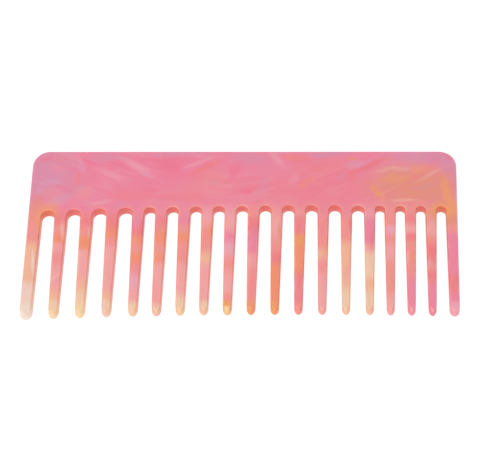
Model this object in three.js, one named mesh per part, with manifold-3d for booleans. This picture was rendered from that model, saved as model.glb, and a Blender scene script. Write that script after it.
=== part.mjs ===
// A wide tooth comb cut from one sheet of marbled acetate.
// Units are millimetres. The comb lies flat: +X runs along its length towards the fine teeth,
// +Y points from the tips to the back, and +Z is up through the thickness of the sheet.
// The origin is at the middle of the comb's outline, on the surface that the comb lies on.

import * as THREE from 'three';
import { mergeVertices } from 'three/addons/utils/BufferGeometryUtils.js';
import Module from 'manifold-3d';

// The sheet
const combLength = 160;
const sheetThickness = 5;
const edgeRadius = 0.8;          // tumbling rounds every edge of the cut sheet

// The back
const backDepth = 23.9;          // from its long edge to the slot heads, at mid length
const cornerRadius = 6.5;

// The teeth
const toothCount = 19;
const toothLength = 44;          // from the slot heads' line to the tips' line
const rootWidthWide = 4.76;      // width of the first tooth at its root
const rootWidthFine = 4.12;      // width of the last tooth at its root
const toothNarrowing = 1.23;     // how much narrower a tooth is at its tip than at its root
const endToothExtra = 0.16;      // the two end teeth are this much wider on the outside

// The spacing, from the wide end to the fine end
const wideGapCount = 4;
const fineGapCount = 4;
const pitchStep = 1.07;          // change of pitch from one zone to the next

// The slot heads and the tips follow the same gently bowed line
const lineBow = 1.28;            // how far the middle of the line stands above its ends
const lineRise = 2.08;           // how much higher the line is at the fine end

// How round the round shapes are
const arcSteps = 5;              // half the number of sides of each arc
const edgeSteps = 2;             // sides of each rounded edge
const cutMargin = 4;             // how far a cutting solid reaches past the sheet

const halfLength = combLength / 2;
const gapCount = toothCount - 1;
const overallDepth = backDepth + lineBow + lineRise / 2 + toothLength;
const backEdge = overallDepth / 2;
const flankSlope = toothNarrowing / 2 / toothLength;
const firstCentre = -halfLength + rootWidthWide / 2 + endToothExtra;
const lastCentre = halfLength - rootWidthFine / 2 - endToothExtra;

const wasm = await Module();
wasm.setup();

// A closed three.js geometry as a solid that can be cut.
function toSolid(geometry) {
  const bare = geometry.clone();
  bare.deleteAttribute('normal');
  bare.deleteAttribute('uv');
  const merged = mergeVertices(bare);
  const vertProperties = new Float32Array(merged.attributes.position.array);
  const triVerts = new Uint32Array(merged.index.array);
  return new wasm.Manifold(new wasm.Mesh({ numProp: 3, vertProperties, triVerts }));
}

function toGeometry(solid) {
  const mesh = solid.getMesh();
  const geometry = new THREE.BufferGeometry();
  geometry.setAttribute('position', new THREE.BufferAttribute(mesh.vertProperties, 3));
  geometry.setIndex(new THREE.BufferAttribute(mesh.triVerts, 1));
  geometry.computeVertexNormals();
  return geometry;
}

// Pitch is widest at the first gap and drops by one step from zone to zone.
function pitchAfter(tooth) {
  const middlePitch = (lastCentre - firstCentre + (fineGapCount - wideGapCount) * pitchStep) / gapCount;
  if (tooth < wideGapCount) return middlePitch + pitchStep;
  if (tooth >= gapCount - fineGapCount) return middlePitch - pitchStep;
  return middlePitch;
}

function toothCentre(tooth) {
  let x = firstCentre;
  for (let gap = 0; gap < tooth; gap += 1) x += pitchAfter(gap);
  return x;
}

// Height of the slot heads' line at x.
function headLine(x) {
  const along = (2 * x - firstCentre - lastCentre) / (lastCentre - firstCentre);
  return backEdge - backDepth - lineBow * along ** 2 + (lineRise / 2) * along;
}

function tipLine(x) {
  return headLine(x) - toothLength;
}

// The two flanks of a tooth. A flank is a line whose x is at + slope * y.
function flanks(tooth) {
  const centre = toothCentre(tooth);
  const share = tooth / gapCount;
  const halfRoot = (rootWidthWide * (1 - share) + rootWidthFine * share) / 2;
  const rootLevel = headLine(centre);
  const left = { at: centre - halfRoot + flankSlope * rootLevel, slope: -flankSlope };
  const right = { at: centre + halfRoot - flankSlope * rootLevel, slope: flankSlope };
  if (tooth === 0) return { left: { at: -halfLength, slope: 0 }, right };
  if (tooth === gapCount) return { left, right: { at: halfLength, slope: 0 } };
  return { left, right };
}

// The circle between two flanks that also touches a level line.
// It lies above the level where side is 1, and below it where side is -1.
function roundBetween(left, right, level, side) {
  const spread = right.slope - left.slope;
  const width = right.at - left.at + spread * level;
  const radius = width / (Math.hypot(1, left.slope) + Math.hypot(1, right.slope) - side * spread);
  const y = level + side * radius;
  const x = left.at + left.slope * y + radius * Math.hypot(1, left.slope);
  return { x, y, radius };
}

function tipRound(tooth) {
  const { left, right } = flanks(tooth);
  return roundBetween(left, right, tipLine(toothCentre(tooth)), 1);
}

// The slot after a tooth ends in a full round between that tooth and the next.
function headRound(gap) {
  const left = flanks(gap).right;
  const right = flanks(gap + 1).left;
  const middle = (toothCentre(gap) + toothCentre(gap + 1)) / 2;
  return roundBetween(left, right, headLine(middle), -1);
}

// The outline runs anticlockwise, from the wide end's tip along the tips to the fine end.
function combOutline() {
  const outline = new THREE.Shape();
  for (let tooth = 0; tooth < toothCount; tooth += 1) {
    const { left, right } = flanks(tooth);
    const tip = tipRound(tooth);
    const tipStart = Math.PI - Math.atan(left.slope);
    const tipEnd = 2 * Math.PI - Math.atan(right.slope);
    outline.absarc(tip.x, tip.y, tip.radius, tipStart, tipEnd, false);
    if (tooth < gapCount) {
      const head = headRound(tooth);
      const headStart = Math.PI - Math.atan(right.slope);
      const headEnd = -Math.atan(flanks(tooth + 1).left.slope);
      outline.absarc(head.x, head.y, head.radius, headStart, headEnd, true);
    }
  }
  const cornerY = backEdge - cornerRadius;
  outline.absarc(halfLength - cornerRadius, cornerY, cornerRadius, 0, Math.PI / 2, false);
  outline.absarc(cornerRadius - halfLength, cornerY, cornerRadius, Math.PI / 2, Math.PI, false);
  return outline;
}

// The sawn and tumbled sheet: every edge is rounded, and the tips aren't nosed yet.
function cutSheet() {
  const geometry = new THREE.ExtrudeGeometry(combOutline(), {
    depth: sheetThickness - 2 * edgeRadius,
    curveSegments: arcSteps,
    bevelThickness: edgeRadius,
    bevelSize: edgeRadius,
    bevelOffset: -edgeRadius,
    bevelSegments: edgeSteps,
  });
  geometry.translate(0, 0, edgeRadius);
  return toSolid(geometry);
}

// The box that takes one tooth out of the sheet. It starts where both of its flanks are straight
// and reaches sideways to the middle of each neighbouring slot.
function toothBox(tooth) {
  const heads = [];
  if (tooth > 0) heads.push(headRound(tooth - 1));
  if (tooth < gapCount) heads.push(headRound(tooth));
  const root = Math.min(...heads.map((head) => head.y));
  const low = tooth > 0 ? heads[0].x : -halfLength - cutMargin;
  const high = tooth < gapCount ? heads.at(-1).x : halfLength + cutMargin;
  const bottom = -backEdge - cutMargin;
  const box = new THREE.BoxGeometry(high - low, root - bottom, sheetThickness + 2 * cutMargin);
  box.translate((low + high) / 2, (root + bottom) / 2, sheetThickness / 2);
  return toSolid(box);
}

// The side view of a tooth, as wide as its box: a full round noses the tip across the thickness.
function toothNose(tooth) {
  const box = toothBox(tooth).boundingBox();
  const radius = sheetThickness / 2;
  const start = tipLine(toothCentre(tooth)) + radius;
  const side = new THREE.Shape();
  side.absarc(start, radius, radius, Math.PI / 2, 1.5 * Math.PI, false);
  side.lineTo(start, -cutMargin);
  side.lineTo(backEdge, -cutMargin);
  side.lineTo(backEdge, sheetThickness + cutMargin);
  side.lineTo(start, sheetThickness + cutMargin);
  const depth = box.max[0] - box.min[0];
  const geometry = new THREE.ExtrudeGeometry(side, { depth, curveSegments: arcSteps, bevelEnabled: false });
  const alongY = new THREE.Vector3(0, 1, 0);
  const alongZ = new THREE.Vector3(0, 0, 1);
  const alongX = new THREE.Vector3(1, 0, 0);
  geometry.applyMatrix4(new THREE.Matrix4().makeBasis(alongY, alongZ, alongX));
  geometry.translate(box.min[0], 0, 0);
  return toSolid(geometry);
}

function pieceMesh(name, solid, colour) {
  const material = new THREE.MeshStandardMaterial({ color: colour, roughness: 0.22, metalness: 0 });
  const mesh = new THREE.Mesh(toGeometry(solid), material);
  mesh.name = name;
  return mesh;
}

// The marbled sheet is pink at the back, and each tooth leans to pink, coral or amber.
const backColour = '#e88aa0';
const toothColours = ['#f2a488', '#f0929a', '#ef8f84', '#f08aa0'];

const comb = new THREE.Group();
const sheet = cutSheet();
let back = sheet;
for (let tooth = 0; tooth < toothCount; tooth += 1) {
  const box = toothBox(tooth);
  const solid = sheet.intersect(box).intersect(toothNose(tooth));
  const name = `tooth_${String(tooth + 1).padStart(2, '0')}`;
  const colour = toothColours[tooth % toothColours.length];
  comb.add(pieceMesh(name, solid, colour));
  back = back.subtract(box);
}
comb.add(pieceMesh('back', back, backColour));

export default comb;
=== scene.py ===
# %% [markdown]
# # A wide tooth comb in marbled acetate
#
# The real comb is a single piece. It is sawn from a sheet of marbled acetate, its tips are nosed on a
# belt, and it is tumbled until every edge is soft. There is no second part, so this lesson builds one
# object from one outline. The CAD model is the frame: it says how long the comb is, where each tooth
# stands and how thick the sheet is, and every size below is read from it or named here.

# %% Load the frame
import math

import bmesh
import bpy
from mathutils import Color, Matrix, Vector


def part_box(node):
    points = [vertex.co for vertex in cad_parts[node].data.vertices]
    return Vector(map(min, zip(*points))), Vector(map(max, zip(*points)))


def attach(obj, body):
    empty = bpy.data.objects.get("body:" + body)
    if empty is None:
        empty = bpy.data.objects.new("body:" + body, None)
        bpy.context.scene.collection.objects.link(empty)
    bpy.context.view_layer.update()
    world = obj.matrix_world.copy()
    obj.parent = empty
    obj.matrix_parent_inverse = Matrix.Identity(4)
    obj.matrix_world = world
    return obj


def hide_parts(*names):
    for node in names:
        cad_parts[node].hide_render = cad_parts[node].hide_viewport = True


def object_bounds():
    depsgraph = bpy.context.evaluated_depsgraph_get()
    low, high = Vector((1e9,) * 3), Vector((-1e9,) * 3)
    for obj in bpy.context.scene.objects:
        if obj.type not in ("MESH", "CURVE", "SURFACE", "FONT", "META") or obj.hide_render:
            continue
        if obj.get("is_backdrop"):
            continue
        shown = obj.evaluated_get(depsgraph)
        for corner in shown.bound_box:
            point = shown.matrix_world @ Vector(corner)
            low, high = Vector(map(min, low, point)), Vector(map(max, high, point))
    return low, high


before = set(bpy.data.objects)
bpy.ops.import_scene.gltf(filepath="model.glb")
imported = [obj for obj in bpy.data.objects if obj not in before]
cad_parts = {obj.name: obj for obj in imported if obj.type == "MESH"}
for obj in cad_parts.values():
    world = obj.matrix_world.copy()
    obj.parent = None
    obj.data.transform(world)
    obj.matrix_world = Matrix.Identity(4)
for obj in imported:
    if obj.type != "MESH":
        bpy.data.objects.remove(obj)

cad_low, cad_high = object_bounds()
print("CAD box in mm:", [round(1000 * v, 2) for v in (*cad_low, *cad_high)])

# %% [markdown]
# ## Reading the teeth from the frame
#
# Each tooth is a node of the CAD model, so its box gives the width at its root, the height of its root
# and the height of its tip. A slot lies between two boxes: its round head has its centre at the higher
# of the two roots, and its diameter is the distance between the boxes.

# %% Tooth and slot sizes
MM = 0.001
thickness = cad_high.z - cad_low.z
middle_height = (cad_high.z + cad_low.z) / 2
tooth_narrowing = 1.23 * MM      # a tooth is this much narrower at its tip than at its root
edge_radius = 0.8 * MM           # what the tumbler leaves on every edge
corner_radius = 6.5 * MM
stub_length = 1.0 * MM           # the first millimetre of each tooth belongs to the back's outline

tooth_names = sorted(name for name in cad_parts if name.startswith("tooth_"))
teeth = []
for name in tooth_names:
    low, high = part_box(name)
    teeth.append({"left": low.x, "right": high.x, "root": high.y, "tip": low.y})
print(len(teeth), "teeth, roots", [round(1000 * (t["right"] - t["left"]), 2) for t in teeth], "mm wide")

# %% [markdown]
# ## The outline of the back
#
# The outline could be a long list of points, but a maker would draw it as a walk: along an edge, then
# round an arc, then on. Here one vertex does the walk. Extrude pulls it along a straight edge, and spin
# swings it round an arc. The teeth are only short stubs for now, because each will be pulled out later
# with a section that changes along its length, which a flat outline can't do.
# Blender's spin turns clockwise for a positive angle when there is no window, so the helper that turns
# to the left passes a negative one.

# %% Helpers for edit mode
def deselect_objects():
    if bpy.context.object and bpy.context.object.mode != "OBJECT":
        bpy.ops.object.mode_set(mode="OBJECT")
    bpy.ops.object.select_all(action="DESELECT")


def edit_mesh():
    return bmesh.from_edit_mesh(bpy.context.object.data)


def select_only(kind, wanted):
    """Selects the vertices, edges or faces of the mesh in edit mode that a test accepts."""
    bpy.ops.mesh.select_mode(type=kind)
    bpy.ops.mesh.select_all(action="DESELECT")
    mesh = edit_mesh()
    items = {"VERT": mesh.verts, "EDGE": mesh.edges, "FACE": mesh.faces}[kind]
    count = 0
    for item in items:
        if wanted(item):
            item.select_set(True)
            count += 1
    mesh.select_flush_mode()
    bmesh.update_edit_mesh(bpy.context.object.data)
    return count


def near(a, b, slack=0.01 * MM):
    return abs(a - b) < slack


# %% Helpers for the walk
arc_steps = 24


def current_point():
    chosen = [v.co.copy() for v in edit_mesh().verts if v.select]
    assert len(chosen) == 1, f"{len(chosen)} points are selected"
    return chosen[0]


def walk_to(x, y):
    here = current_point()
    step = (x - here.x, y - here.y, 0)
    bpy.ops.mesh.extrude_region_move(TRANSFORM_OT_translate={"value": step})


def swing(angle, x, y, steps):
    """Turns to the left by angle, round the centre x, y."""
    bpy.ops.mesh.spin(steps=steps, angle=-angle, center=(x, y, cad_low.z), axis=(0, 0, 1))


# %% Walk the outline
deselect_objects()
start = (teeth[0]["left"], teeth[0]["root"] - stub_length, cad_low.z)
bpy.ops.mesh.primitive_plane_add(size=2 * MM, location=start)
comb = bpy.context.object
comb.name = "marbled_comb"
bpy.ops.object.transform_apply(location=True, rotation=True, scale=True)
bpy.ops.object.mode_set(mode="EDIT")
bpy.ops.mesh.select_all(action="SELECT")
bpy.ops.mesh.merge(type="CENTER")

for tooth, following in zip(teeth, teeth[1:] + [None]):
    walk_to(tooth["right"], tooth["root"] - stub_length)
    if following:
        radius = (following["left"] - tooth["right"]) / 2
        head = max(tooth["root"], following["root"])
        walk_to(tooth["right"], head)
        swing(-math.pi, tooth["right"] + radius, head, arc_steps)
        walk_to(following["left"], following["root"] - stub_length)

corner_height = cad_high.y - corner_radius
walk_to(cad_high.x, corner_height)
swing(math.pi / 2, cad_high.x - corner_radius, corner_height, arc_steps)
walk_to(cad_low.x + corner_radius, cad_high.y)
swing(math.pi / 2, cad_low.x + corner_radius, corner_height, arc_steps)
print("the walk has", len(edit_mesh().verts), "points")

# %% Close the outline and give it the sheet's thickness
select_only("VERT", lambda v: len(v.link_edges) == 1)
bpy.ops.mesh.edge_face_add()
bpy.ops.mesh.select_all(action="SELECT")
bpy.ops.mesh.edge_face_add()
bpy.ops.mesh.select_all(action="SELECT")
bpy.ops.mesh.extrude_region_move(TRANSFORM_OT_translate={"value": (0, 0, thickness)})
bpy.ops.mesh.select_all(action="SELECT")
bpy.ops.mesh.normals_make_consistent(inside=False)
print("the blank has", len(edit_mesh().faces), "faces")

# %% [markdown]
# ## Tumbled edges
#
# The tumbler rounds every edge by nearly a millimetre. A bevel on the edges of both faces does the same.
# The edges that close the stubs are left sharp, because the teeth grow out of them, and the bevel then
# gives each stub the rounded section that its tooth keeps.

# %% Bevel both faces
bevel_steps = 6


def is_stub_end(edge):
    ends = [v.co for v in edge.verts]
    for tooth in teeth:
        level = tooth["root"] - stub_length
        if all(near(p.y, level) and tooth["left"] - MM < p.x < tooth["right"] + MM for p in ends):
            return True
    return False


def is_face_edge(edge):
    heights = [v.co.z for v in edge.verts]
    flat = near(heights[0], heights[1])
    return flat and not is_stub_end(edge)


count = select_only("EDGE", is_face_edge)
bpy.ops.mesh.bevel(offset=edge_radius, offset_type="OFFSET", segments=bevel_steps, profile=0.5,
                   affect="EDGES", clamp_overlap=False)
print(count, "edges rounded to", edge_radius / MM, "mm")

# %% [markdown]
# ## Pulling out the teeth
#
# A tooth narrows evenly towards its tip and ends in a round nose, seen from the front and from the side.
# It could be carved from a block, but pulling the end face of its stub out again and again is simpler:
# each pull moves the section on, and each resize gives it its new width and height. Near the tip, To
# Sphere also turns the section from a rounded rectangle into an oval, so that the nose has no corners.
# A straight side with a point only at each end would stay straight, so the sides are divided first.

# %% Helpers for a tooth's section
section_cuts = 5


def section_size():
    points = [v.co for v in edit_mesh().verts if v.select]
    xs = [p.x for p in points]
    zs = [p.z for p in points]
    return (min(xs) + max(xs)) / 2, max(xs) - min(xs), max(zs) - min(zs)


def pull_section(y, centre, width, height, roundness=0.0):
    """Extrudes the selected end face to y and gives it a new middle, width, height and roundness."""
    here = [v.co.y for v in edit_mesh().verts if v.select][0]
    bpy.ops.mesh.extrude_region_move(TRANSFORM_OT_translate={"value": (0, y - here, 0)})
    if roundness > 0:
        bpy.ops.transform.tosphere(value=roundness)
    old_centre, old_width, old_height = section_size()
    bpy.ops.transform.translate(value=(centre - old_centre, 0, 0))
    bpy.ops.transform.resize(value=(width / old_width, 1, height / old_height),
                             center_override=(centre, y, middle_height))


def select_end(y, centre):
    reach = 0.5 * MM
    return select_only("FACE", lambda f: f.normal.y < -0.99 and near(f.calc_center_median().y, y)
                       and near(f.calc_center_median().x, centre, reach))


def divide_long_sides(y, centre):
    """Puts more points on the straight sides of the end face at y, and selects the face again."""
    reach = 4 * MM
    long_side = 0.8 * MM
    select_only("EDGE", lambda e: e.calc_length() > long_side
                and all(near(v.co.y, y) and near(v.co.x, centre, reach) for v in e.verts))
    bpy.ops.mesh.subdivide(number_cuts=section_cuts)
    select_end(y, centre)


# %% Pull out the teeth
nose_length = 1.9 * MM           # from the tip to where a tooth has its full width
nose_steps = 8
buffing = [(2.5, 0.1), (2.15, 0.2)]    # millimetres from the tip, roundness
nose_roundness = 0.35
section_reach = 3 * MM           # from the tip to the last section before the buffing

for number, tooth in enumerate(teeth):
    root_width = tooth["right"] - tooth["left"]
    outer_left = number == 0
    outer_right = number == len(teeth) - 1
    narrowing = tooth_narrowing / 2 if outer_left or outer_right else tooth_narrowing
    tip_width = root_width - narrowing
    root_centre = (tooth["left"] + tooth["right"]) / 2
    tip_centre = root_centre + narrowing / 2 * (outer_right - outer_left)
    tip = tooth["tip"]
    select_end(tooth["root"] - stub_length, root_centre)
    last_plain = tip + section_reach
    pull_section(last_plain, tip_centre, tip_width, thickness)
    divide_long_sides(last_plain, tip_centre)
    for distance, roundness in buffing:
        pull_section(tip + distance * MM, tip_centre, tip_width, thickness, roundness)
    for step in range(nose_steps):
        angle = math.pi / 2 * step / nose_steps
        level = tip + nose_length * (1 - math.sin(angle))
        size = math.cos(angle)
        pull_section(level, tip_centre, tip_width * size, thickness * size, nose_roundness)
    bpy.ops.mesh.extrude_region_move(TRANSFORM_OT_translate={"value": (0, tip - level, 0)})
    bpy.ops.mesh.merge(type="CENTER")
print("the comb has", len(edit_mesh().faces), "faces")

# %% [markdown]
# ## A narrow loop round the flat faces
#
# The two faces are dead flat, and the rounded edges meet them without a crease. Smooth shading would let
# the rounding bleed across a large face. Edge weights would prevent that too, but a narrow inset is the
# plainest way: the loop carries the last of the rounding, and the face inside it shades flat.

# %% Frame the flat faces
loop_width = 0.4 * MM
many_points = 100                # only the two flat faces have more points than this
smooth_below = math.radians(40)
select_only("FACE", lambda f: len(f.verts) > many_points)
bpy.ops.mesh.inset(thickness=loop_width, depth=0)
bpy.ops.mesh.select_all(action="SELECT")
bpy.ops.mesh.normals_make_consistent(inside=False)
bpy.ops.object.mode_set(mode="OBJECT")
bpy.ops.object.shade_smooth_by_angle(angle=smooth_below)
print("comb:", len(comb.data.vertices), "vertices,", len(comb.data.polygons), "faces")

# %% [markdown]
# ## Working with the material's nodes
#
# Marbled acetate is made by folding coloured, pearly pastes into each other and pressing the mass into a
# block. The pattern runs right through the sheet, so the material is built as a solid pattern in space,
# on Object coordinates. It takes a few hundred nodes. Drawing them by hand would be slow, so a small class
# wraps a socket: adding or multiplying two wrapped sockets adds the Math node that does it.

# %% A socket that can be used in an expression
class Signal:
    """A socket of a material that takes part in Python expressions."""

    def __init__(self, socket):
        self.socket = socket

    def node(self, kind, settings=None, values=None, output=0):
        """Adds a node: its settings are made first, then its sockets get their values or links."""
        tree = self.socket.id_data
        made = tree.nodes.new("ShaderNode" + kind)
        for name, setting in (settings or {}).items():
            if name == "stops":
                fill_ramp(made.color_ramp, setting)
            else:
                setattr(made, name, setting)
        for key, value in (values or {}).items():
            if isinstance(value, Signal):
                tree.links.new(value.socket, made.inputs[key])
            else:
                made.inputs[key].default_value = value
        return Signal(made.outputs[output])

    def sibling(self, output):
        """Another output of the node that this socket belongs to."""
        return Signal(self.socket.node.outputs[output])

    def math(self, operation, first, second):
        return self.node("Math", {"operation": operation}, {0: first, 1: second})

    def __add__(self, other):
        return self.math("ADD", self, other)

    def __radd__(self, other):
        return self.math("ADD", other, self)

    def __sub__(self, other):
        return self.math("SUBTRACT", self, other)

    def __rsub__(self, other):
        return self.math("SUBTRACT", other, self)

    def __mul__(self, other):
        return self.math("MULTIPLY", self, other)

    def __rmul__(self, other):
        return self.math("MULTIPLY", other, self)

    def __pow__(self, other):
        return self.math("POWER", self, other)

    def __abs__(self):
        return self.node("Math", {"operation": "ABSOLUTE"}, {0: self})


def fill_ramp(ramp, stops):
    """Gives a colour ramp its stops, each a place from 0 to 1 and a colour."""
    ramp.interpolation = "EASE"
    while len(ramp.elements) < len(stops):
        ramp.elements.new(1.0)
    for element, (position, colour) in zip(ramp.elements, stops):
        element.position = position
        element.color = colour


# %% Helpers for colours, places and soft edges
def paint(code):
    """The colour of a paint chart code such as #ee8aa0, as Blender's shaders want it."""
    channels = [int(code[i:i + 2], 16) / 255 for i in (1, 3, 5)]
    return (*Color(channels).from_srgb_to_scene_linear(), 1.0)


def lay_over(under, over, share, blend="MIX"):
    """Lays one colour over another, with a share from 0 to 1."""
    settings = {"data_type": "RGBA", "blend_type": blend}
    return share.node("Mix", settings, {0: share, 6: under, 7: over}, output=2)


def soft_step(value, start, end):
    """0 where value is at start, 1 where it is at end, and a soft edge between."""
    limits = {"Value": value, "From Min": start, "From Max": end}
    return value.node("MapRange", {"interpolation_type": "SMOOTHSTEP"}, limits)


def blots(where, size, detail=2.0, output="Fac"):
    """Noise whose blots are about size millimetres across. Its middle value is 0.5."""
    values = {"Vector": where, "Scale": 1 / size, "Detail": detail, "Roughness": 0.55}
    return where.node("TexNoise", {"noise_dimensions": "3D"}, values, output)


# %% [markdown]
# ## The places that the pattern uses
#
# The pattern is easier to place in millimetres than in metres, so the coordinates are scaled once. The
# pastes were folded, so no edge in them is straight: a noise pushes every place a little to the side
# before the colours are looked up. The push is smaller on the teeth, which are narrow. The folds cross
# the sheet at a slant, so the push also grows from the upper face down, as the walls show. The folds also
# drew the pearl out into long threads that sag in the middle of the comb, and a second set of coordinates
# is bent and stretched to follow them.

# %% Coordinates in millimetres
acetate = bpy.data.materials.new("marbled_acetate")
acetate.use_nodes = True
finish = acetate.node_tree.nodes["Principled BSDF"]
comb.data.materials.append(acetate)

surface = Signal(finish.outputs["BSDF"])
object_place = surface.node("TexCoord", output="Object")
facing = object_place.sibling("Normal")
in_mm = {"operation": "SCALE"}
straight = surface.node("VectorMath", in_mm, {0: object_place, "Scale": 1 / MM})

split = surface.node("SeparateXYZ", None, {0: straight})
straight_y = split.sibling("Y")
straight_x = split
straight_z = split.sibling("Z")

back_drift = 5.0                 # millimetres
tooth_drift = 2.0
on_back = soft_step(straight_y, 4, 16)
drift_size = on_back * (back_drift - tooth_drift) + tooth_drift
push = surface.node("VectorMath", {"operation": "SUBTRACT"},
                    {0: blots(straight, 14, 3, "Color"), 1: (0.5, 0.5, 0.5)})
push = surface.node("VectorMath", {"operation": "SCALE"}, {0: push, "Scale": drift_size})
fold_slant = 0.8                 # sideways drift of a fold for each millimetre down through the sheet
below_face = straight_z - cad_high.z / MM
slant = surface.node("CombineXYZ", None, {0: below_face * fold_slant, 1: below_face * -fold_slant})
push = surface.node("VectorMath", {"operation": "ADD"}, {0: push, 1: slant})
place = surface.node("VectorMath", {"operation": "ADD"}, {0: straight, 1: push})
split = surface.node("SeparateXYZ", None, {0: place})
place_x = split
place_y = split.sibling("Y")

thread_bend = 0.0045             # how quickly the threads rise to both sides
thread_middle = -12.0
thread_stretch = 0.16            # under 1, so that a thread is long in that direction
depth_stretch = 0.3
across = place_y - (place_x - thread_middle) ** 2 * thread_bend
deep = straight_z * depth_stretch
back_threads = surface.node("CombineXYZ", None, {0: place_x * thread_stretch, 1: across, 2: deep})
tooth_threads = surface.node("CombineXYZ", None, {0: place_x, 1: place_y * thread_stretch, 2: deep})
choose = {"data_type": "VECTOR"}
thread_place = surface.node("Mix", choose, {0: on_back, 4: tooth_threads, 5: back_threads}, output=1)
print("the pattern's places use", len(acetate.node_tree.nodes), "nodes")

# %% [markdown]
# ## The pastes
#
# The sheet is pink through and through, with mauve, coral and amber folded in, and its threads are pearl.
# Naming the pastes once keeps the lists below readable.

# %% The colours
pastes = {
    "pink": paint("#ed859e"),
    "rose": paint("#ef7491"),
    "mauve": paint("#d68eab"),
    "lavender": paint("#db9ab6"),
    "pearl": paint("#eea2b2"),
    "coral": paint("#f07e82"),
    "red": paint("#ee6e72"),
    "salmon": paint("#f2928c"),
    "orange": paint("#f38f6c"),
    "amber": paint("#f09c5e"),
    "sand": paint("#e59078"),
    "blush": paint("#f3a3a0"),
    "peach": paint("#f2b394"),
    "cream": paint("#f1c8a8"),
    "shell": paint("#efccbc"),
    "ivory": paint("#f0dac8"),
    "butter": paint("#f4d69c"),
}

# %% [markdown]
# ## The teeth
#
# Each tooth cuts through the folds at its own place, so each one runs through its own colours from its root
# to its tip. A colour ramp per tooth holds them, with stops at heights in millimetres, and a soft step in
# the middle of every slot chooses the tooth's own ramp.

# %% Colours along each tooth
tooth_bands = [
    [(9, "salmon"), (-3, "salmon"), (-7, "peach"), (-19, "peach"), (-23, "shell"), (-28, "shell"),
     (-32, "ivory"), (-35, "ivory")],
    [(10, "pink"), (5, "coral"), (1, "salmon"), (-3, "orange"), (-6, "blush"), (-11, "salmon"),
     (-16, "blush"), (-22, "blush"), (-27, "peach"), (-30, "cream"), (-35, "butter")],
    [(10, "pink"), (5, "coral"), (0, "salmon"), (-3, "orange"), (-6, "orange"), (-9, "blush"),
     (-17, "blush"), (-22, "peach"), (-27, "cream"), (-33, "butter")],
    [(10, "pink"), (5, "coral"), (-1, "orange"), (-4, "salmon"), (-8, "blush"), (-23, "blush"),
     (-27, "peach"), (-31, "cream"), (-35, "peach")],
    [(9, "pink"), (4, "pink"), (0, "coral"), (-3, "orange"), (-7, "salmon"), (-11, "orange"),
     (-15, "salmon"), (-20, "pearl"), (-27, "blush"), (-31, "cream"), (-35, "peach")],
    [(9, "pink"), (4, "coral"), (-2, "orange"), (-7, "salmon"), (-11, "orange"), (-15, "blush"),
     (-22, "blush"), (-28, "blush"), (-32, "cream"), (-35, "peach")],
    [(10, "pink"), (5, "pink"), (1, "salmon"), (-2, "orange"), (-6, "salmon"), (-11, "salmon"),
     (-15, "blush"), (-24, "blush"), (-29, "cream"), (-35, "butter")],
    [(10, "pearl"), (5, "blush"), (0, "salmon"), (-6, "salmon"), (-11, "peach"), (-15, "blush"),
     (-27, "blush"), (-30, "cream"), (-35, "butter")],
    [(10, "pearl"), (3, "blush"), (-2, "pink"), (-7, "pearl"), (-13, "salmon"), (-20, "blush"),
     (-24, "blush"), (-27, "salmon"), (-30, "amber"), (-32, "butter"), (-35, "amber")],
    [(10, "salmon"), (4, "coral"), (-3, "pink"), (-7, "pink"), (-11, "blush"), (-20, "salmon"),
     (-26, "salmon"), (-31, "amber"), (-35, "amber")],
    [(10, "blush"), (1, "blush"), (-6, "salmon"), (-11, "coral"), (-15, "orange"), (-27, "orange"),
     (-31, "amber"), (-35, "amber")],
    [(10, "blush"), (5, "coral"), (1, "coral"), (-3, "amber"), (-7, "orange"), (-14, "orange"),
     (-20, "coral"), (-27, "coral"), (-31, "salmon"), (-35, "blush")],
    [(10, "pink"), (4, "salmon"), (-5, "salmon"), (-9, "peach"), (-14, "salmon"), (-19, "blush"),
     (-35, "blush")],
    [(10, "pink"), (4, "salmon"), (-1, "salmon"), (-7, "peach"), (-20, "peach"), (-26, "cream"),
     (-35, "cream")],
    [(10, "pearl"), (4, "pink"), (-3, "pink"), (-6, "blush"), (-10, "cream"), (-17, "cream"),
     (-21, "peach"), (-28, "cream"), (-35, "peach")],
    [(10, "salmon"), (4, "salmon"), (1, "pearl"), (-3, "salmon"), (-8, "blush"), (-15, "salmon"),
     (-23, "salmon"), (-28, "blush"), (-35, "blush")],
    [(10, "salmon"), (6, "coral"), (1, "blush"), (-2, "coral"), (-5, "salmon"), (-11, "salmon"),
     (-16, "salmon"), (-22, "pink"), (-28, "pink"), (-35, "pearl")],
    [(10, "sand"), (1, "blush"), (-3, "salmon"), (-7, "coral"), (-11, "coral"), (-14, "salmon"),
     (-18, "coral"), (-25, "pink"), (-35, "pink")],
    [(10, "amber"), (5, "sand"), (2, "salmon"), (-2, "pink"), (-16, "pink"), (-19, "coral"),
     (-23, "coral"), (-27, "pink"), (-30, "pearl"), (-35, "blush")],
]

ramp_low = -36                   # millimetres
ramp_high = 12


ramp_span = ramp_high - ramp_low


def tooth_ramp(bands):
    stops = [((height - ramp_low) / ramp_span, pastes[name]) for height, name in reversed(bands)]
    along = (place_y - ramp_low) * (1 / ramp_span)
    return surface.node("ValToRGB", {"stops": stops}, {"Fac": along}, "Color")


slot_blend = 2                   # millimetres to each side of a slot's middle
tooth_colour = tooth_ramp(tooth_bands[0])
for tooth, following, bands in zip(teeth, teeth[1:], tooth_bands[1:]):
    slot_middle = (tooth["right"] + following["left"]) / 2 / MM
    passed = soft_step(straight_x, slot_middle - slot_blend, slot_middle + slot_blend)
    tooth_colour = lay_over(tooth_colour, tooth_ramp(bands), passed)
print(len(tooth_bands), "tooth ramps")

# %% [markdown]
# ## The clouds in the back
#
# The back shows whole folds: soft clouds and long streaks. Each is an ellipse with a soft edge, put where
# it belongs by a Mapping node, whose Texture setting moves, turns and scales the ellipse itself. The list
# gives the middle, half length, half width, turn in degrees, paste and strength of each one.

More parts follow.
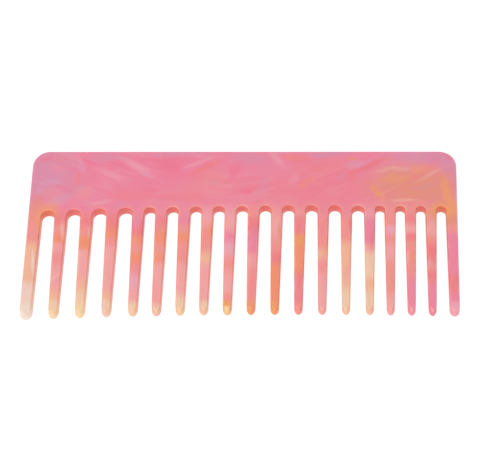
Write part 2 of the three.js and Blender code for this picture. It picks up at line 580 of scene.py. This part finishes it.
# %% Clouds and streaks
clouds = [
    # wide washes under everything else
    (-35, 26, 34, 10, 0, "rose", 0.3),
    (25, 18, 36, 9, 0, "coral", 0.45),
    (-12, 20, 14, 8, 0, "salmon", 0.3),
    # the mauve left corner, with its pearly patches
    (-75, 25, 16, 13, 20, "mauve", 0.75),
    (-73, 22, 6, 1.6, 0, "lavender", 0.7),
    (-70, 32, 6, 1.5, 0, "coral", 0.35),
    (-70, 28, 5, 2.2, 0, "pink", 0.5),
    (-76, 31.5, 3, 1.5, 20, "rose", 0.5),
    (-61, 29, 3.5, 1.5, -60, "lavender", 0.5),
    (-57.5, 29.5, 5, 2, -40, "rose", 0.75),
    (-51, 32, 9, 3, 0, "mauve", 0.45),
    (-48, 29.5, 4.5, 1.8, 0, "rose", 0.7),
    (-62, 22.5, 3.5, 1.2, 80, "coral", 0.6),
    (-64, 17, 7, 2.5, 35, "mauve", 0.55),
    (-60, 17, 4.5, 3.5, 0, "peach", 0.2),
    (-70, 13, 5, 3, 30, "lavender", 0.6),
    (-72, 17, 5, 3, 0, "salmon", 0.35),
    (-77, 18, 2.5, 2, 60, "lavender", 0.6),
    (-78, 11, 7, 3.5, 80, "sand", 0.6),
    (-72.5, 9.5, 5, 4.5, 0, "amber", 0.6),
    # the two parallel streaks and the coral heart of the left half
    (-39, 27.5, 10, 2.2, -33, "pearl", 0.6),
    (-35, 24.7, 4, 1.2, -10, "lavender", 0.45),
    (-50, 24.5, 10, 1.8, -28, "pearl", 0.4),
    (-30, 31.5, 14, 1.6, 0, "rose", 0.55),
    (-28, 28.5, 5.5, 3.2, 0, "rose", 0.8),
    (-25, 34, 14, 1.2, 0, "mauve", 0.6),
    (-41, 16, 12, 3, 0, "coral", 0.45),
    (-33, 18, 5, 2.5, 0, "rose", 0.4),
    (-22, 15, 12, 3, 0, "coral", 0.4),
    (-53, 13, 6, 1.2, 10, "pearl", 0.6),
    (-46, 12, 3.5, 2, 20, "mauve", 0.3),
    (-14, 28, 8, 1.8, 27, "coral", 0.8),
    (-17, 30.2, 8, 1.0, 22, "pearl", 0.5),
    (-12, 23, 7, 3.5, 0, "salmon", 0.5),
    (-11, 22, 4, 2, 0, "mauve", 0.35),
    (-3, 27, 5, 2.2, 60, "rose", 0.6),
    (2, 18, 4, 2.5, 0, "rose", 0.7),
    # the middle
    (3, 32, 10, 3.2, 0, "mauve", 0.45),
    (13, 31, 6, 1.8, -50, "pearl", 0.5),
    (8.5, 20.5, 6, 2.4, 85, "mauve", 0.35),
    (19.5, 32, 6, 2.2, 0, "coral", 0.8),
    (30, 28, 14, 5, 0, "coral", 0.55),
    (32, 34, 8, 1.4, 0, "mauve", 0.7),
    (19.5, 22.5, 3.5, 2, 60, "pearl", 0.35),
    (24, 21, 6, 1.8, 42, "orange", 0.4),
    (36.5, 23, 4, 1.8, 80, "mauve", 0.25),
    (42, 29, 5.5, 2.4, 8, "lavender", 0.6),
    (41, 31.8, 4, 1, 0, "orange", 0.5),
    (40, 23.5, 5, 2.2, 65, "coral", 0.6),
    (47, 28.5, 9, 1.8, 28, "red", 0.6),
    (54, 31.2, 5, 1.1, 8, "coral", 0.6),
    # the amber right end
    (69, 32.5, 18, 4, 0, "mauve", 0.75),
    (77, 28, 5, 8, 0, "mauve", 0.65),
    (77.5, 32, 2, 1.2, -50, "rose", 0.5),
    (62, 20, 19, 11, 0, "sand", 0.95),
    (74, 17, 8, 8, 0, "sand", 0.6),
    (57, 23.5, 7, 2.2, 8, "amber", 0.35),
    (65, 25, 4, 2, 30, "coral", 0.4),
    (56, 27.0, 9, 1.1, 10, "cream", 0.25),
    (69, 24.5, 7, 1.2, 28, "cream", 0.25),
    (67, 19.5, 6, 1.6, 0, "mauve", 0.25),
    (50.5, 17, 5.5, 1.8, -58, "amber", 0.6),
    (60, 13.6, 6, 1.0, 0, "peach", 0.6),
    (75.5, 20, 6, 2.2, -80, "amber", 0.5),
    (76.5, 14.5, 5, 2, -70, "amber", 0.8),
    (79, 11, 5, 2.5, 90, "amber", 0.7),
    (66.5, 27.5, 5, 2.5, 0, "amber", 0.5),
    (60, 10, 6, 2.5, 0, "sand", 0.3),
    (73.5, 9, 6, 4, 0, "amber", 0.6),
    # streaks that only one tooth shows
    (-75.8, 3, 8, 1.4, 88, "amber", 0.6),
    (-76.6, -13, 6, 0.7, -85, "ivory", 0.8),
    (-66.6, 1, 5, 1.0, -85, "ivory", 0.35),
    (-65.4, -9.5, 4, 0.8, 90, "red", 0.6),
    (-67.8, -19, 4, 0.6, 45, "ivory", 0.25),
    (-56.2, 0, 3.5, 1.0, 85, "ivory", 0.3),
    (-56.0, -23, 6, 1.0, 88, "peach", 0.7),
    (-59.4, -14, 6, 0.8, 90, "cream", 0.5),
    (-49.5, -31, 4, 1.2, 85, "ivory", 0.6),
    (-36.6, 4, 5, 0.8, 85, "red", 0.6),
    (-37, -10, 3.5, 1.2, 90, "orange", 0.6),
    (-30.8, -10, 3.5, 1.0, 90, "amber", 0.5),
    (-11.8, 0, 5, 1.0, 90, "orange", 0.5),
    (14.4, 1, 5, 1.0, 88, "sand", 0.7),
    (31.8, -8, 4, 1.0, 90, "amber", 0.6),
    (40.6, 4, 4, 0.8, 88, "red", 0.7),
    (48.6, -4, 6, 0.8, 88, "red", 0.5),
    (61.5, -10, 3, 0.9, 88, "blush", 0.5),
    (63.3, -10, 4, 0.9, 88, "orange", 0.6),
    (69.3, -13, 3, 1.0, 88, "pearl", 0.5),
]
solid_through = 1000             # a cloud runs straight through the sheet
soft_rim = 1.25                  # a cloud fades out this far beyond its named size
full_inside = 0.85               # where the fading ball counts as full


def add_cloud(under, cloud, where):
    x, y, half_length, half_width, turn, name, strength = cloud
    values = {"Vector": where, "Location": (x, y, 0), "Rotation": (0, 0, math.radians(turn)),
              "Scale": (half_length * soft_rim, half_width * soft_rim, solid_through)}
    inside = surface.node("Mapping", {"vector_type": "TEXTURE"}, values)
    ball = surface.node("TexGradient", {"gradient_type": "SPHERICAL"}, {"Vector": inside}, "Fac")
    share = soft_step(ball, 0, full_inside) * strength
    return lay_over(under, pastes[name], share)


on_teeth = soft_step(place_y, 13, 7)
colour = lay_over(pastes["pink"], tooth_colour, on_teeth)
for cloud in clouds:
    colour = add_cloud(colour, cloud, place)
print(len(clouds), "clouds and streaks")

# %% [markdown]
# ## Pearl threads
#
# Between the clouds the sheet is never even: fine threads of pearl and of deeper pink follow the folds. A
# noise on the stretched coordinates draws them. Its middle value is a set of thin winding lines, so the
# distance from that value, turned upside down, is a thread.

# %% Threads
threads = 1 - soft_step(abs(blots(thread_place, 4.5, 2) - 0.5), 0, 0.08)
thread_patches = soft_step(blots(place, 16), 0.42, 0.62)
colour = lay_over(colour, pastes["pearl"], threads * thread_patches * 0.22)
deep_threads = soft_step(blots(thread_place, 3.6, 2.5), 0.5, 0.75)
colour = lay_over(colour, pastes["rose"], deep_threads * 0.3)

# %% [markdown]
# ## Warm light round the slot heads
#
# Light enters the sheet through the sawn wall of a slot head, so the face glows warmer around it.
# Subsurface scattering would compute that, but slowly and with grain. A soft round cloud on each head
# gives the same look. It uses the straight coordinates, so that the glow stays centred on its slot. The
# first and last heads are cut into amber paste.

# %% Glow at the slot heads
halo = 4.6                       # millimetres
amber_slots = (1, 18)
for slot, (tooth, following) in enumerate(zip(teeth, teeth[1:]), start=1):
    middle = (tooth["right"] + following["left"]) / 2 / MM
    head = max(tooth["root"], following["root"]) / MM
    paste = "amber" if slot in amber_slots else "salmon"
    strength = 0.5 if slot in amber_slots else 0.7
    colour = add_cloud(colour, (middle, head, halo, halo, 0, paste, strength), straight)
print(len(teeth) - 1, "slot heads lit")

# %% [markdown]
# ## Sawn walls with painted shade, edges with painted sheen
#
# The walls of the slots pass more light than the faces, and they are painted deeper and warmer: painted
# shade, with the warmth of that light. The saw never touched the outside of the sheet, so its walls keep
# the pattern and get no painted shade. The direction that the surface faces tells the walls from the faces:
# its Z is 1 on a face and 0 on a wall. Halfway between lie the rounded edges. Outside the slots they get a
# painted sheen of pale mauve, and all of them are paler in patches.

# %% Colour of the walls and edges
upright = abs(surface.node("SeparateXYZ", None, {0: facing}).sibling("Z"))
wall = soft_step(upright, 0.97, 0.35)
end_margin = 0.3                 # millimetres
inside_ends = soft_step(abs(straight_x), cad_high.x / MM - end_margin, cad_high.x / MM - 2 * end_margin)
saw_zone = inside_ends * soft_step(straight_y, 16, 12)
sawn_and_shaded = wall * saw_zone
# Painted shade: inside the slots the walls are multiplied by a warm tint that darkens them, less towards
# the tips and not on the noses.
wall_shade_tint = lay_over(paint("#f9cbb0"), paint("#fbe9da"), soft_step(straight_y, 6, -28))
colour = lay_over(colour, wall_shade_tint, sawn_and_shaded * soft_step(straight_y, -34.5, -31), "MULTIPLY")
rounded = soft_step(upright, 0.995, 0.9) * soft_step(upright, 0.4, 0.65)
# Painted sheen: the rounded edges outside the slots are mixed towards a paler mauve, standing in for the
# light they catch.
colour = lay_over(colour, pastes["mauve"], rounded * (1 - saw_zone) * 0.45)
# The rounded edges are mixed towards a pale shell colour in patches.
pale_edge_patches = rounded * soft_step(blots(straight, 7), 0.42, 0.66)
colour = lay_over(colour, pastes["shell"], pale_edge_patches * 0.3)
surface.socket.id_data.links.new(colour.socket, finish.inputs["Base Color"])
print("the colour uses", len(acetate.node_tree.nodes), "nodes")

# %% [markdown]
# ## Polish
#
# Acetate is buffed to a high gloss, yet it is never a perfect mirror. The buffing wheel leaves it very
# slightly wavy, the polish is uneven, and the saw cuts and the paler patches on the edges are duller than
# the faces. The waves are a bump of two noises, and the rest goes into the roughness.

# %% Roughness and bump
roughness = 0.14 + blots(place, 6, 3) * 0.1 + sawn_and_shaded * 0.16 + pale_edge_patches * 0.18
surface.socket.id_data.links.new(roughness.socket, finish.inputs["Roughness"])
waves = blots(straight, 11, 2) + blots(straight, 2.6, 2) * 0.12
bump = surface.node("Bump", None, {"Strength": 0.35, "Distance": 0.4 * MM, "Height": waves})
surface.socket.id_data.links.new(bump.socket, finish.inputs["Normal"])
finish.inputs["IOR"].default_value = 1.48
print("the material has", len(acetate.node_tree.nodes), "nodes")

# %% [markdown]
# ## One piece for twenty nodes
#
# The CAD model divides the comb into a back and 19 teeth, so that each tooth has its own collision shape.
# The real comb is one piece, so this mesh stands for all of them.

# %% Tie the comb to the frame
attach(comb, "root")
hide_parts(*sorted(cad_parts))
print("the comb stands for", len(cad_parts), "nodes")

# %% [markdown]
# ## The camera
#
# The comb is seen from the side of its teeth, about 29 degrees away from straight above. A long lens at
# three quarters of a metre keeps the perspective gentle.

# %% Camera
lens = 147                       # millimetres, on a sensor 36 mm wide
camera_distance = 742.8 * MM     # from the lens to the comb
camera_tilt = math.radians(28.95)
camera_turn = math.radians(3.69)
camera_roll = math.radians(1.88)
aim_sideways = 1.35 * MM
aim_up = 0.48 * MM
aim_back = 0.86 * MM             # the camera looks a little behind the comb's middle

bpy.ops.object.camera_add()
camera = bpy.context.object
camera.data.lens = lens
camera.data.sensor_width = 36
camera.rotation_mode = "ZXY"
camera.rotation_euler = (camera_tilt, camera_turn, camera_roll)
turned = camera.rotation_euler.to_matrix()
aim = Vector((0, aim_back, middle_height))
camera.location = aim + turned @ Vector((aim_sideways, aim_up, camera_distance))
bpy.context.scene.camera = camera
print("the camera is", round(camera.location.length / MM), "mm from the origin")

# %% [markdown]
# ## Floor and light
#
# Small goods are often shown on white. The floor glows a little, so that it stays white and takes only a
# faint shadow. The room is a white sky, a little dimmer overhead. A large softbox on the camera's side
# lights the comb, and a strip light low behind it draws a line of gloss along the rounded edges.

# %% Floor
bpy.context.scene.view_settings.view_transform = "Standard"
bpy.ops.mesh.primitive_plane_add(size=4, location=(0, 0, cad_low.z))
floor = bpy.context.object
floor.name = "floor"
floor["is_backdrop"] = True
white = bpy.data.materials.new("floor_white")
white.use_nodes = True
glow = white.node_tree.nodes["Principled BSDF"]
glow.inputs["Base Color"].default_value = (0.2, 0.2, 0.2, 1)
glow.inputs["Specular IOR Level"].default_value = 0
glow.inputs["Roughness"].default_value = 1
glow.inputs["Emission Color"].default_value = (1, 1, 1, 1)
glow.inputs["Emission Strength"].default_value = 0.92
floor.data.materials.append(white)
print("the floor is", floor.dimensions.x, "m wide")

# %% Sky
world = bpy.data.worlds.new("studio")
bpy.context.scene.world = world
world.use_nodes = True
sky = world.node_tree.nodes["Background"]
sky.inputs["Color"].default_value = (1, 1, 1, 1)
room = Signal(sky.outputs["Background"])
up = room.node("SeparateXYZ", None, {0: room.node("TexCoord", output="Generated")}).sibling("Z")
ceiling = soft_step(up, 0.08, 0.6)
world.node_tree.links.new((1.0 - ceiling * 0.3).socket, sky.inputs["Strength"])
print("the sky has", len(world.node_tree.nodes), "nodes")

# %% Softboxes
def softbox(name, where, width, height, energy):
    """A rectangular light at where, turned towards the origin. Sizes are in metres, energy in watts."""
    bpy.ops.object.light_add(type="AREA", location=where)
    light = bpy.context.object
    light.name = name
    light.data.shape = "RECTANGLE"
    light.data.size = width
    light.data.size_y = height
    light.data.energy = energy
    light.rotation_euler = (-Vector(where)).to_track_quat("-Z", "Y").to_euler()
    print(name, "is", round(Vector(where).length, 2), "m from the comb")


softbox("key_softbox", (-0.5, -0.5, 1.2), 1.2, 1.2, 6.4)
softbox("rim_strip", (-0.9, 0.9, 0.55), 0.9, 0.16, 0.7)

# %% Print the visual box
low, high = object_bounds()
print("visual box in mm:", [round(1000 * v, 2) for v in (*low, *high)])
